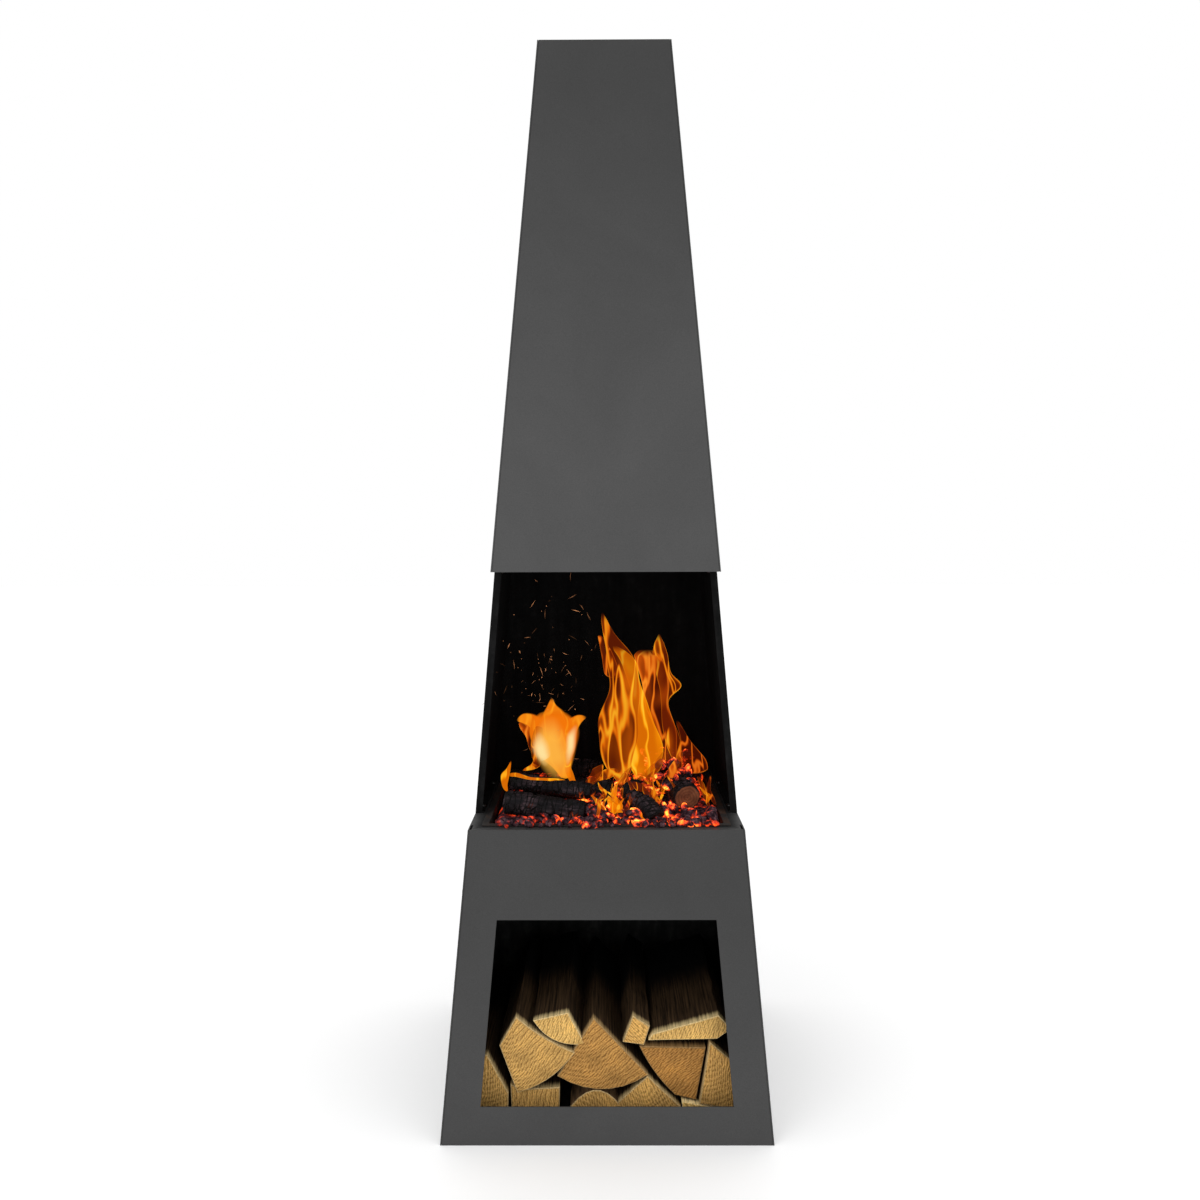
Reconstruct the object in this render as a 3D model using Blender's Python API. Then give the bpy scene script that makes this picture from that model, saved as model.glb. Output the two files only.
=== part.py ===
"""Garden chiminea: a tall tapering square stove of folded sheet steel.

A base with a log store, an open fire chamber set back behind the front plane, and a hood that
is also the chimney. The four outer planes run straight from the ground to the top. Lengths are
in metres, +Z is up, the front faces -Y, and the origin is on the ground under the centre.
"""

import math

import bmesh
import bpy
from mathutils import Matrix, Vector

# Driving dimensions
FOOTPRINT = 0.450          # outer width and depth at the ground
TOP_WIDTH = 0.185          # outer width and depth at the top
HEIGHT = 1.500
BASE_TOP = 0.421           # top face of the base, at the hearth
HOOD_BOTTOM = 0.769
SHEET = 0.002              # thickness of the outer panels
THIN_SHEET = 0.0015        # thickness of the fire tray
GAP = 0.0003               # play between pieces that touch

# Log opening in the base's front panel
OPENING_BOTTOM = 0.051
OPENING_TOP = 0.300
OPENING_MARGIN = 0.050     # from the opening's side to the outer edge, at every height

# Flanges, measured from the outer face
BOTTOM_FLANGE = 0.020
HEARTH_FLANGE = 0.024      # round the top of the base
CHAMBER_FLANGE = 0.0125    # top and bottom of the fire chamber, and bottom of the hood
TOP_HEM = 0.008            # round the top of the hood
FRONT_RETURN = 0.010       # front edges of the fire chamber
CORNER_LAP = 0.040         # front and back panels, inside the side panels

# Fire chamber, shield, tray and grate
CHAMBER_FRONT = -0.102     # the chamber's vertical front edges
SHIELD_HEIGHT = 0.376      # underside of the heat shield
TRAY_RIM = 0.171           # half width over the rim
TRAY_BODY = 0.163          # half width over the walls
TRAY_DEPTH = 0.025
GRATE_HALF = 0.148
GRATE_BAR = 0.008
GRATE_BARS = 9
GRATE_TOP = 0.416
GRATE_FOOT_X = 0.130
GRATE_FOOT_Y = 0.100

# M5 bolts, nuts and weld nuts
SHANK_RADIUS = 0.0025
HOLE_RADIUS = SHANK_RADIUS + GAP
SHANK_LENGTH = 0.010
HEAD_RADIUS = 0.00475
HEAD_HEIGHT = 0.0024
HEAD_CROWN = ((0.62, 1.00), (0.90, 0.62), (1.00, 0.20))  # shares of the radius and the height
SOCKET_FLAT = 0.003        # across the flats
SOCKET_DEPTH = 0.0015
NUT_FLAT = 0.008           # across the flats
NUT_HEIGHT = 0.004
NUT_CHAMFER = 0.0004
BOLT_CHAMFER = 0.0005      # at the tip of the shank
DRILL_LENGTH = 0.030
WELD_NUT = 0.008           # square, side length
WELD_NUT_HEIGHT = 0.004
BOLT_SETBACK = 0.028       # corner bolts, behind the front or back edge
FLANGE_BOLT_INSET = 0.0073 # flange bolts, in from the outer face
FLANGE_BOLT_Y = 0.070
BASE_BOLT_HEIGHTS = {"lower": 0.080, "upper": 0.330}
HOOD_BOLT_HEIGHTS = {"lower": 0.860, "upper": 1.400}
FACETS = 12                # sides of a round fastener

# Rounded edges
FOLD_RADIUS = 0.002
CUT_RADIUS = 0.0003
FOLD_FACE = 0.006          # a fold has a face wider than this on both sides
SHARP_ANGLE = 0.5          # radians: edges that turn less than this stay as they are
FLAT_ANGLE = 0.0087        # radians: neighbouring faces that turn less than this are one face

TAPER = (FOOTPRINT - TOP_WIDTH) / 2 / HEIGHT
LEAN = math.atan(TAPER)

SIDE_TURN = {"front": 0.0, "right": math.pi / 2, "back": math.pi, "left": -math.pi / 2}


def half_width(height):
    """Distance from the centre to the outer planes at a height."""
    return FOOTPRINT / 2 - TAPER * height


# A line is (anchor, offset): it stays a fixed distance from an outer plane that leans with the
# height, or from the centre plane. A slab is three pairs: two lines, two lines, two heights.
def near(distance):
    """A line this far inside the outer plane on the negative side."""
    return (-1, distance)


def far(distance):
    """A line this far inside the outer plane on the positive side."""
    return (1, -distance)


def fixed(position):
    """A line that doesn't lean."""
    return (0, position)


def place_on(line, height):
    anchor, offset = line
    return anchor * half_width(height) + offset


def square(half):
    """The pair of upright lines of a centred square."""
    return (fixed(-half), fixed(half))


def mirrored(pair):
    """The same pair of lines on the other side of the centre plane."""
    return tuple((-anchor, -offset) for anchor, offset in reversed(pair))


def grid_of(slabs):
    """All the lines and heights that the slabs use, in order."""
    middle = sum(slab[2][0] + slab[2][1] for slab in slabs) / 2 / len(slabs)
    lines = []
    for axis in (0, 1):
        used = {line for slab in slabs for line in slab[axis]}
        lines.append(sorted(used, key=lambda line: place_on(line, middle)))
    heights = sorted({height for slab in slabs for height in slab[2]})
    return lines[0], lines[1], heights


def filled_cells(slabs, grid):
    """The grid cells that lie inside at least one slab."""
    filled = set()
    for slab in slabs:
        spans = [range(grid[axis].index(slab[axis][0]), grid[axis].index(slab[axis][1]))
                 for axis in range(3)]
        filled.update((i, j, k) for i in spans[0] for j in spans[1] for k in spans[2])
    return filled


CELL_FACES = {
    (-1, 0, 0): ((0, 0, 0), (0, 0, 1), (0, 1, 1), (0, 1, 0)),
    (1, 0, 0): ((1, 0, 0), (1, 1, 0), (1, 1, 1), (1, 0, 1)),
    (0, -1, 0): ((0, 0, 0), (1, 0, 0), (1, 0, 1), (0, 0, 1)),
    (0, 1, 0): ((0, 1, 0), (0, 1, 1), (1, 1, 1), (1, 1, 0)),
    (0, 0, -1): ((0, 0, 0), (0, 1, 0), (1, 1, 0), (1, 0, 0)),
    (0, 0, 1): ((0, 0, 1), (1, 0, 1), (1, 1, 1), (0, 1, 1)),
}


def solid_from_slabs(slabs):
    """One closed mesh round all the slabs, with flat neighbouring faces joined."""
    grid = grid_of(slabs)
    filled = filled_cells(slabs, grid)
    bm = bmesh.new()
    corners = {}

    def corner(i, j, k):
        if (i, j, k) not in corners:
            height = grid[2][k]
            spot = (place_on(grid[0][i], height), place_on(grid[1][j], height), height)
            corners[(i, j, k)] = bm.verts.new(spot)
        return corners[(i, j, k)]

    for i, j, k in sorted(filled):
        for step, face in CELL_FACES.items():
            if (i + step[0], j + step[1], k + step[2]) not in filled:
                bm.faces.new([corner(i + a, j + b, k + c) for a, b, c in face])
    bmesh.ops.dissolve_limit(bm, angle_limit=FLAT_ANGLE, verts=bm.verts, edges=bm.edges)
    return bm


def face_reach(face, edge):
    """How far a face reaches away from one of its edges."""
    start = edge.verts[0].co
    along = (edge.verts[1].co - start).normalized()
    reach = 0.0
    for vert in face.verts:
        offset = vert.co - start
        reach = max(reach, (offset - along * offset.dot(along)).length)
    return reach


def mark_edges(bm):
    """Bevel weights: full on the outside of each fold, a little on each cut edge."""
    weights = bm.edges.layers.float.new("bevel_weight_edge")
    for edge in bm.edges:
        if len(edge.link_faces) != 2 or not edge.is_convex or edge.calc_face_angle() < SHARP_ANGLE:
            continue
        fold = all(face_reach(face, edge) > FOLD_FACE for face in edge.link_faces)
        edge[weights] = 1.0 if fold else CUT_RADIUS / FOLD_RADIUS


def add_object(name, bm, material):
    mesh = bpy.data.meshes.new(name)
    bm.to_mesh(mesh)
    bm.free()
    mesh.materials.append(material)
    piece = bpy.data.objects.new(name, mesh)
    bpy.context.scene.collection.objects.link(piece)
    return piece


def sheet_piece(name, slabs, material, turn=0.0):
    """A folded sheet with rounded folds, turned about the centre line."""
    bm = solid_from_slabs(slabs)
    mark_edges(bm)
    piece = add_object(name, bm, material)
    piece.rotation_euler.z = turn
    bevel = piece.modifiers.new("edges", "BEVEL")
    bevel.limit_method = "WEIGHT"
    bevel.width = FOLD_RADIUS
    bevel.segments = 2
    bevel.use_clamp_overlap = False
    return piece


def ring_radius(radius, hexagonal, angle):
    """The radius of a circle, or of a hexagon given by half its width across the flats."""
    if not hexagonal:
        return radius
    return radius / math.cos((angle % (math.pi / 3)) - math.pi / 6)


def turned_solid(rings, closed_loop):
    """A solid of revolution from (radius, height, hexagonal) rings.

    An open profile gets a flat cap at each end, and a closed loop makes a ring with a bore.
    """
    bm = bmesh.new()
    loops = []
    for radius, height, hexagonal in rings:
        loop = []
        for step in range(FACETS):
            angle = 2 * math.pi * step / FACETS
            reach = ring_radius(radius, hexagonal, angle)
            loop.append(bm.verts.new((reach * math.cos(angle), reach * math.sin(angle), height)))
        loops.append(loop)
    pairs = list(zip(loops, loops[1:]))
    if closed_loop:
        pairs.append((loops[-1], loops[0]))
    for first, second in pairs:
        for step in range(FACETS):
            after = (step + 1) % FACETS
            bm.faces.new((first[step], first[after], second[after], second[step]))
    if not closed_loop:
        bm.faces.new(loops[0])
        bm.faces.new(loops[-1])
    bmesh.ops.recalc_face_normals(bm, faces=bm.faces)
    return bm


def bolt_solid():
    """Button-head bolt: head above the local origin, shank below it."""
    socket = SOCKET_FLAT / 2
    crown = [(HEAD_RADIUS * wide, HEAD_HEIGHT * high, False) for wide, high in HEAD_CROWN]
    return turned_solid([
        (socket, HEAD_HEIGHT - SOCKET_DEPTH, True),
        (socket, HEAD_HEIGHT, True),
        *crown,
        (HEAD_RADIUS, 0.0, False),
        (SHANK_RADIUS, 0.0, False),
        (SHANK_RADIUS, BOLT_CHAMFER - SHANK_LENGTH, False),
        (SHANK_RADIUS - BOLT_CHAMFER, -SHANK_LENGTH, False),
    ], closed_loop=False)


def nut_solid():
    """Hexagon nut below the local origin."""
    flat = NUT_FLAT / 2
    return turned_solid([
        (HOLE_RADIUS, 0.0, False),
        (flat - NUT_CHAMFER, 0.0, True),
        (flat, -NUT_CHAMFER, True),
        (flat, NUT_CHAMFER - NUT_HEIGHT, True),
        (flat - NUT_CHAMFER, -NUT_HEIGHT, True),
        (HOLE_RADIUS, -NUT_HEIGHT, False),
    ], closed_loop=True)


def fastener_frame(side, across, height, depth):
    """Frame on an outer panel: local +Z points out of the panel, at a depth below its face."""
    turn = Matrix.Rotation(SIDE_TURN[side], 4, "Z")
    spot = Vector((across, -half_width(height), height))
    outward = Vector((0.0, -math.cos(LEAN), math.sin(LEAN)))
    tilt = Matrix.Rotation(math.pi / 2 - LEAN, 4, "X")
    return turn @ Matrix.Translation(spot - outward * depth) @ tilt


def corner_bolt_places(heights):
    """Corner bolts: name and the side panel, place across it and height of each one."""
    places = []
    for side in ("left", "right"):
        for end in ("front", "back"):
            for level, height in heights.items():
                away = half_width(height) - BOLT_SETBACK
                towards_front = -1 if side == "right" else 1
                across = towards_front * away if end == "front" else -towards_front * away
                places.append((f"{end}_{side}_{level}", side, across, height))
    return places


def flange_bolt_frames(head_height, upward):
    """Upright bolts through the chamber's flanges: name and frame of each one."""
    frames = []
    for side, sign in (("left", -1), ("right", 1)):
        for end, depth in (("front", -FLANGE_BOLT_Y), ("back", FLANGE_BOLT_Y)):
            across = sign * (half_width(head_height) - FLANGE_BOLT_INSET)
            frame = Matrix.Translation(Vector((across, depth, head_height)))
            if not upward:
                frame = frame @ Matrix.Rotation(math.pi, 4, "X")
            frames.append((f"{end}_{side}", frame))
    return frames


def cut_holes(piece, frames):
    """Drill a bolt hole along each frame's axis, after the edges are rounded."""
    bm = bmesh.new()
    for frame in frames:
        bmesh.ops.create_cone(bm, cap_ends=True, segments=FACETS, radius1=HOLE_RADIUS,
                              radius2=HOLE_RADIUS, depth=DRILL_LENGTH, matrix=frame)
    mesh = bpy.data.meshes.new("drill")
    bm.to_mesh(mesh)
    bm.free()
    drill = bpy.data.objects.new("drill", mesh)
    bpy.context.scene.collection.objects.link(drill)
    holes = piece.modifiers.new("holes", "BOOLEAN")
    holes.operation = "DIFFERENCE"
    holes.solver = "EXACT"
    holes.object = drill
    depsgraph = bpy.context.evaluated_depsgraph_get()
    drilled = bpy.data.meshes.new_from_object(piece.evaluated_get(depsgraph))
    piece.modifiers.clear()
    piece.data = drilled
    bpy.data.objects.remove(drill)
    bpy.data.meshes.remove(mesh)


def folded_panel(bottom, top, bottom_flange, top_flange, lap_bottom, lap_top):
    """Slabs of a front or back panel: web, two flanges and two laps inside the side panels."""
    width = (near(SHEET + GAP), far(SHEET + GAP))
    flange_width = (near(2 * SHEET + 2 * GAP), far(2 * SHEET + 2 * GAP))
    lap = (near(SHEET + GAP), near(2 * SHEET + GAP))
    slabs = [
        (width, (near(0), near(SHEET)), (bottom, top)),
        (flange_width, (near(0), near(bottom_flange)), (bottom, bottom + SHEET)),
        (flange_width, (near(0), near(top_flange)), (top - SHEET, top)),
    ]
    for pair in (lap, mirrored(lap)):
        slabs.append((pair, (near(0), near(CORNER_LAP)), (lap_bottom, lap_top)))
    return slabs


def with_opening(slabs, bottom, top, margin):
    """The same panel with its web, the first slab, split round a rectangular opening."""
    width, depth, (web_bottom, web_top) = slabs[0]
    side = (width[0], near(margin))
    frame = [
        (width, depth, (web_bottom, bottom)),
        (width, depth, (top, web_top)),
        (side, depth, (bottom, top)),
        (mirrored(side), depth, (bottom, top)),
    ]
    return frame + slabs[1:]


def side_panel(bottom, top, bottom_flange, top_flange):
    """Slabs of a left or right panel: full-depth web and two flanges between the end panels."""
    def between(flange):
        return (near(flange + GAP), far(flange + GAP))

    return [
        ((near(0), far(0)), (near(0), near(SHEET)), (bottom, top)),
        (between(bottom_flange), (near(0), near(bottom_flange)), (bottom, bottom + SHEET)),
        (between(top_flange), (near(0), near(top_flange)), (top - SHEET, top)),
    ]


def weld_nut_slabs(bottom, top):
    """Two square weld nuts on a side panel's flange."""
    depth = (near(FLANGE_BOLT_INSET - WELD_NUT / 2), near(FLANGE_BOLT_INSET + WELD_NUT / 2))
    slabs = []
    for place in (-FLANGE_BOLT_Y, FLANGE_BOLT_Y):
        across = (fixed(place - WELD_NUT / 2), fixed(place + WELD_NUT / 2))
        slabs.append((across, depth, (bottom, top)))
    return slabs


def make_base(paint):
    """The four outer panels of the base."""
    lap_bottom = 2 * (SHEET + GAP) + GAP
    ends = folded_panel(0.0, BASE_TOP, BOTTOM_FLANGE, HEARTH_FLANGE, lap_bottom, SHIELD_HEIGHT)
    front = with_opening(ends, OPENING_BOTTOM, OPENING_TOP, OPENING_MARGIN)
    side = side_panel(0.0, BASE_TOP, BOTTOM_FLANGE, HEARTH_FLANGE)
    side += weld_nut_slabs(BASE_TOP - SHEET - WELD_NUT_HEIGHT, BASE_TOP - SHEET / 2)
    return {
        "front": sheet_piece("base_front_panel", front, paint),
        "back": sheet_piece("base_back_panel", ends, paint, SIDE_TURN["back"]),
        "left": sheet_piece("base_left_panel", side, paint, SIDE_TURN["left"]),
        "right": sheet_piece("base_right_panel", side, paint, SIDE_TURN["right"]),
    }


def make_hood(paint):
    """The four outer panels of the hood."""
    lap_bottom = HOOD_BOTTOM + SHEET + GAP
    lap_top = HEIGHT - SHEET - GAP
    ends = folded_panel(HOOD_BOTTOM, HEIGHT, CHAMBER_FLANGE, TOP_HEM, lap_bottom, lap_top)
    side = side_panel(HOOD_BOTTOM, HEIGHT, CHAMBER_FLANGE, TOP_HEM)
    side += weld_nut_slabs(HOOD_BOTTOM + SHEET / 2, HOOD_BOTTOM + SHEET + WELD_NUT_HEIGHT)
    return {
        "front": sheet_piece("hood_front_panel", ends, paint),
        "back": sheet_piece("hood_back_panel", ends, paint, SIDE_TURN["back"]),
        "left": sheet_piece("hood_left_panel", side, paint, SIDE_TURN["left"]),
        "right": sheet_piece("hood_right_panel", side, paint, SIDE_TURN["right"]),
    }


def make_chamber(paint):
    """The fire chamber: two sides and the back, folded from one sheet."""
    bottom = BASE_TOP + GAP
    top = HOOD_BOTTOM - GAP
    depth = (fixed(CHAMBER_FRONT), far(0))
    slabs = [((near(0), far(0)), (far(SHEET), far(0)), (bottom, top))]
    for level in ((bottom, bottom + SHEET), (top - SHEET, top)):
        slabs.append(((near(0), far(0)), (far(CHAMBER_FLANGE), far(0)), level))
    wall = (near(0), near(SHEET))
    flange = (near(0), near(CHAMBER_FLANGE))
    front_return = (near(0), near(FRONT_RETURN))
    lip = (fixed(CHAMBER_FRONT), fixed(CHAMBER_FRONT + SHEET))
    for pick in (lambda pair: pair, mirrored):
        slabs.append((pick(wall), depth, (bottom, top)))
        slabs.append((pick(flange), depth, (bottom, bottom + SHEET)))
        slabs.append((pick(flange), depth, (top - SHEET, top)))
        slabs.append((pick(front_return), lip, (bottom, top)))
    return sheet_piece("chamber_shell", slabs, paint)


def make_loose_plates(paint):
    """The log store's floor and the heat shield over it: flat plates that lie in place."""
    for name, bottom in (("log_floor_plate", SHEET + GAP), ("heat_shield_plate", SHIELD_HEIGHT + GAP)):
        half = half_width(bottom + SHEET) - SHEET - 2 * GAP
        sheet_piece(name, [(square(half), square(half), (bottom, bottom + SHEET))], paint)


def make_tray(steel):
    """The lift-out ash tray: a pan whose rim lies on the base's top flanges."""
    rim_bottom = BASE_TOP + GAP
    rim_top = rim_bottom + THIN_SHEET
    floor = BASE_TOP - TRAY_DEPTH
    inner = TRAY_BODY - THIN_SHEET
    slabs = [(square(TRAY_BODY), square(TRAY_BODY), (floor, floor + THIN_SHEET))]
    wall = (fixed(-TRAY_BODY), fixed(-inner))
    rim = (fixed(-TRAY_RIM), fixed(-inner))
    for pick in (lambda pair: pair, mirrored):
        slabs.append((pick(wall), square(TRAY_BODY), (floor, rim_top)))
        slabs.append((square(TRAY_BODY), pick(wall), (floor, rim_top)))
        slabs.append((pick(rim), square(TRAY_RIM), (rim_bottom, rim_top)))
        slabs.append((square(TRAY_RIM), pick(rim), (rim_bottom, rim_top)))
    return sheet_piece("fire_tray", slabs, steel)


def make_grate(steel):
    """The grate: bars on two cross bars with four feet, welded into one piece."""
    foot_bottom = BASE_TOP - TRAY_DEPTH + THIN_SHEET + GAP
    bar_bottom = GRATE_TOP - GRATE_BAR
    overlap = GRATE_BAR / 8
    cross_bottom = bar_bottom - GRATE_BAR + overlap
    slabs = []
    for index in range(GRATE_BARS):
        centre = (GRATE_HALF - GRATE_BAR / 2) * (2 * index / (GRATE_BARS - 1) - 1)
        across = (fixed(centre - GRATE_BAR / 2), fixed(centre + GRATE_BAR / 2))
        slabs.append((across, square(GRATE_HALF), (bar_bottom, GRATE_TOP)))
    for y in (-GRATE_FOOT_Y, GRATE_FOOT_Y):
        depth = (fixed(y - GRATE_BAR / 2), fixed(y + GRATE_BAR / 2))
        slabs.append((square(GRATE_HALF), depth, (cross_bottom, bar_bottom + overlap)))
        for x in (-GRATE_FOOT_X, GRATE_FOOT_X):
            across = (fixed(x - GRATE_BAR / 2), fixed(x + GRATE_BAR / 2))
            slabs.append((across, depth, (foot_bottom, cross_bottom + overlap)))
    grate = add_object("fire_grate", solid_from_slabs(slabs), steel)
    bevel = grate.modifiers.new("edges", "BEVEL")
    bevel.width = CUT_RADIUS
    bevel.segments = 1
    return grate


def add_fastener(name, bm, frame, zinc):
    piece = add_object(name, bm, zinc)
    piece.matrix_world = frame
    return piece


def fasten_corners(section, panels, heights, zinc):
    """Bolts and nuts through the side panels and the laps behind them."""
    drills = {side: [] for side in panels}
    for name, side, across, height in corner_bolt_places(heights):
        nut_depth = (2 * SHEET + GAP) * math.cos(LEAN) + GAP
        bolt_frame = fastener_frame(side, across, height, -GAP)
        nut_frame = fastener_frame(side, across, height, nut_depth)
        add_fastener(f"{section}_bolt_{name}", bolt_solid(), bolt_frame, zinc)
        add_fastener(f"{section}_nut_{name}", nut_solid(), nut_frame, zinc)
        drills[side].append(bolt_frame)
        drills[name.split("_")[0]].append(bolt_frame)
    return drills


def fasten_flanges(name, head_height, upward, zinc):
    """Bolts through the fire chamber's flange into the weld nuts behind the next one."""
    frames = flange_bolt_frames(head_height, upward)
    for place, frame in frames:
        add_fastener(f"{name}_bolt_{place}", bolt_solid(), frame, zinc)
    return frames


def make_material(name, colour, roughness, metallic):
    material = bpy.data.materials.new(name)
    material.use_nodes = True
    shader = material.node_tree.nodes["Principled BSDF"]
    shader.inputs["Base Color"].default_value = (*colour, 1.0)
    shader.inputs["Roughness"].default_value = roughness
    shader.inputs["Metallic"].default_value = metallic
    material.diffuse_color = (*colour, 1.0)
    return material


def clear_scene():
    for piece in list(bpy.data.objects):
        bpy.data.objects.remove(piece)


def build():
    clear_scene()
    paint = make_material("painted_steel", (0.070, 0.070, 0.070), 0.62, 0.0)
    sooty_paint = make_material("sooty_painted_steel", (0.030, 0.030, 0.030), 0.80, 0.0)
    scaled_steel = make_material("fire_scaled_steel", (0.045, 0.040, 0.037), 0.75, 0.6)
    zinc = make_material("black_fastener_steel", (0.060, 0.060, 0.062), 0.45, 0.8)

    base = make_base(paint)
    hood = make_hood(paint)
    chamber = make_chamber(sooty_paint)
    make_loose_plates(sooty_paint)
    tray = make_tray(scaled_steel)
    grate = make_grate(scaled_steel)
    grate.parent = tray

    base_drills = fasten_corners("base", base, BASE_BOLT_HEIGHTS, zinc)
    hood_drills = fasten_corners("hood", hood, HOOD_BOLT_HEIGHTS, zinc)
    hearth_head = BASE_TOP + GAP + SHEET + GAP
    hood_head = HOOD_BOTTOM - GAP - SHEET - GAP
    hearth = fasten_flanges("hearth", hearth_head, True, zinc)
    throat = fasten_flanges("throat", hood_head, False, zinc)

    for place, frame in hearth:
        base_drills[place.split("_")[1]].append(frame)
    for place, frame in throat:
        hood_drills[place.split("_")[1]].append(frame)
    bpy.context.view_layer.update()
    cut_holes(chamber, [frame for place, frame in hearth + throat])
    for side in SIDE_TURN:
        cut_holes(base[side], base_drills[side])
        cut_holes(hood[side], hood_drills[side])


build()
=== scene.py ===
"""Looks of the garden chiminea: materials, firewood and fire, light, floor and camera."""
import math
import random

import bmesh
import bpy
from mathutils import Matrix, Vector, noise


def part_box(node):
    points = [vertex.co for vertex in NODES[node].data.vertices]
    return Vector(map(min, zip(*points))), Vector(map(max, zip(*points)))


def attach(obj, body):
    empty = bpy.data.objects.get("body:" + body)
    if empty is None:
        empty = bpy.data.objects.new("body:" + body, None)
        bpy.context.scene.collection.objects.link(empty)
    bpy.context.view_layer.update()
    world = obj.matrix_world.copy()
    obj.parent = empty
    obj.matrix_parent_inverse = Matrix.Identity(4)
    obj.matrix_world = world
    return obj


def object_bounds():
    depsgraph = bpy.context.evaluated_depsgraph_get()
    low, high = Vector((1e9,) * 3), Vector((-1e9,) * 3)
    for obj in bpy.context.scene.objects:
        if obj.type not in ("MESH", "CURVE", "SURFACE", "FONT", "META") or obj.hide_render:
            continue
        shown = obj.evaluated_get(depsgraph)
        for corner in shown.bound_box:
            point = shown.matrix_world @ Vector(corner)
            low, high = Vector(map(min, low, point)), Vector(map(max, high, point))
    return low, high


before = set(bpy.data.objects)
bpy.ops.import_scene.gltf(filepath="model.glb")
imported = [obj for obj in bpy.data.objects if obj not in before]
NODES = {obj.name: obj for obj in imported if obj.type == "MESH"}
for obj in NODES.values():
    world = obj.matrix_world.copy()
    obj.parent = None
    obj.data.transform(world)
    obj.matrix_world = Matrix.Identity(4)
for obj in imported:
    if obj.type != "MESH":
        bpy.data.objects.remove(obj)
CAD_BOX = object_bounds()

# Sizes read from the frame
HEIGHT = CAD_BOX[1][2]
FOOT_HALF = CAD_BOX[1][0]
BASE_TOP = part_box("base_front_panel")[1].z
HOOD_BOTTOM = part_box("hood_front_panel")[0].z
HOOD_HALF = -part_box("hood_front_panel")[0].y
TAPER = (FOOT_HALF - HOOD_HALF) / HOOD_BOTTOM
TRAY_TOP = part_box("fire_tray")[1].z
GRATE_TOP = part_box("fire_grate")[1].z
PAINTED_SKIN = 0.0015      # faces no deeper than this inside the outer planes are painted


def half_width(height):
    """Half the outer width at a height: the four outer planes run straight to the top."""
    return FOOT_HALF - TAPER * height


# ---------------------------------------------------------------- node helpers
def put(tree, kind, settings=None, **inputs):
    """Add a node, with its settings and its sockets' values or links."""
    node = tree.nodes.new(kind)
    for name, value in (settings or {}).items():
        setattr(node, name, value)
    for name, value in inputs.items():
        wire(tree, value, node.inputs[name.replace("_", " ")])
    return node


def wire(tree, value, socket):
    """Link a socket, or set a plain value."""
    if isinstance(value, bpy.types.NodeSocket):
        tree.links.new(value, socket)
    else:
        socket.default_value = value


def calc(tree, operation, first, second=0.0, clamp=False):
    node = put(tree, "ShaderNodeMath", {"operation": operation, "use_clamp": clamp})
    wire(tree, first, node.inputs[0])
    wire(tree, second, node.inputs[1])
    return node.outputs[0]


def step_between(tree, value, low, high, out_low=0.0, out_high=1.0):
    """A smooth step from one output to the other as the value goes from low to high."""
    node = put(tree, "ShaderNodeMapRange", {"interpolation_type": "SMOOTHSTEP"})
    for index, item in enumerate((value, low, high, out_low, out_high)):
        wire(tree, item, node.inputs[index])
    return node.outputs[0]


def blend_colour(tree, factor, first, second, mode="MIX"):
    node = put(tree, "ShaderNodeMix", {"data_type": "RGBA", "blend_type": mode})
    wire(tree, factor, node.inputs[0])
    wire(tree, first, node.inputs[6])
    wire(tree, second, node.inputs[7])
    return node.outputs[2]


def object_point(tree):
    return put(tree, "ShaderNodeTexCoord").outputs["Object"]


def stretched(tree, point, scale):
    return put(tree, "ShaderNodeMapping", Vector=point, Scale=scale).outputs[0]


def cloud(tree, point, scale, detail=4.0, roughness=0.55, distortion=0.0):
    node = put(tree, "ShaderNodeTexNoise", Vector=point, Scale=scale, Detail=detail,
               Roughness=roughness, Distortion=distortion)
    return node.outputs["Fac"]


def cells(tree, point, scale, feature="DISTANCE_TO_EDGE"):
    node = put(tree, "ShaderNodeTexVoronoi", {"feature": feature}, Vector=point, Scale=scale)
    return node.outputs["Distance"]


def relief(tree, height, distance, strength=1.0, normal=None):
    node = put(tree, "ShaderNodeBump", Height=height, Distance=distance, Strength=strength)
    if normal is not None:
        wire(tree, normal, node.inputs["Normal"])
    return node.outputs[0]


def grey(value):
    return (value, value, value, 1.0)


def ramp(tree, factor, stops):
    """Colour ramp from (position, colour) stops."""
    node = put(tree, "ShaderNodeValToRGB", Fac=factor)
    elements = node.color_ramp.elements
    while len(elements) < len(stops):
        elements.new(0.5)
    for element, (position, colour) in zip(elements, stops):
        element.position = position
        element.color = colour
    return node.outputs["Color"]


def tinted(tree, colour, factor, stops):
    """The colour multiplied by a ramp over the factor."""
    return blend_colour(tree, 1.0, colour, ramp(tree, factor, stops), "MULTIPLY")


def new_material(name, roughness=0.5, metallic=0.0, specular=0.5):
    """A material, its node tree and its Principled shader."""
    material = bpy.data.materials.new(name)
    material.use_nodes = True
    shader = material.node_tree.nodes["Principled BSDF"]
    shader.inputs["Roughness"].default_value = roughness
    shader.inputs["Metallic"].default_value = metallic
    shader.inputs["Specular IOR Level"].default_value = specular
    return material, material.node_tree, shader


# ---------------------------------------------------------------- metal
def depth_inside(tree, point):
    """How far a point lies inside the leaning outer planes."""
    axes = put(tree, "ShaderNodeSeparateXYZ", Vector=point)
    across = calc(tree, "ABSOLUTE", axes.outputs[0])
    along = calc(tree, "ABSOLUTE", axes.outputs[1])
    reach = calc(tree, "MAXIMUM", across, along)
    plane = calc(tree, "MULTIPLY_ADD", axes.outputs[2], -TAPER)
    plane.node.inputs[2].default_value = FOOT_HALF
    return calc(tree, "SUBTRACT", plane, reach), axes.outputs[2]


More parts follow.
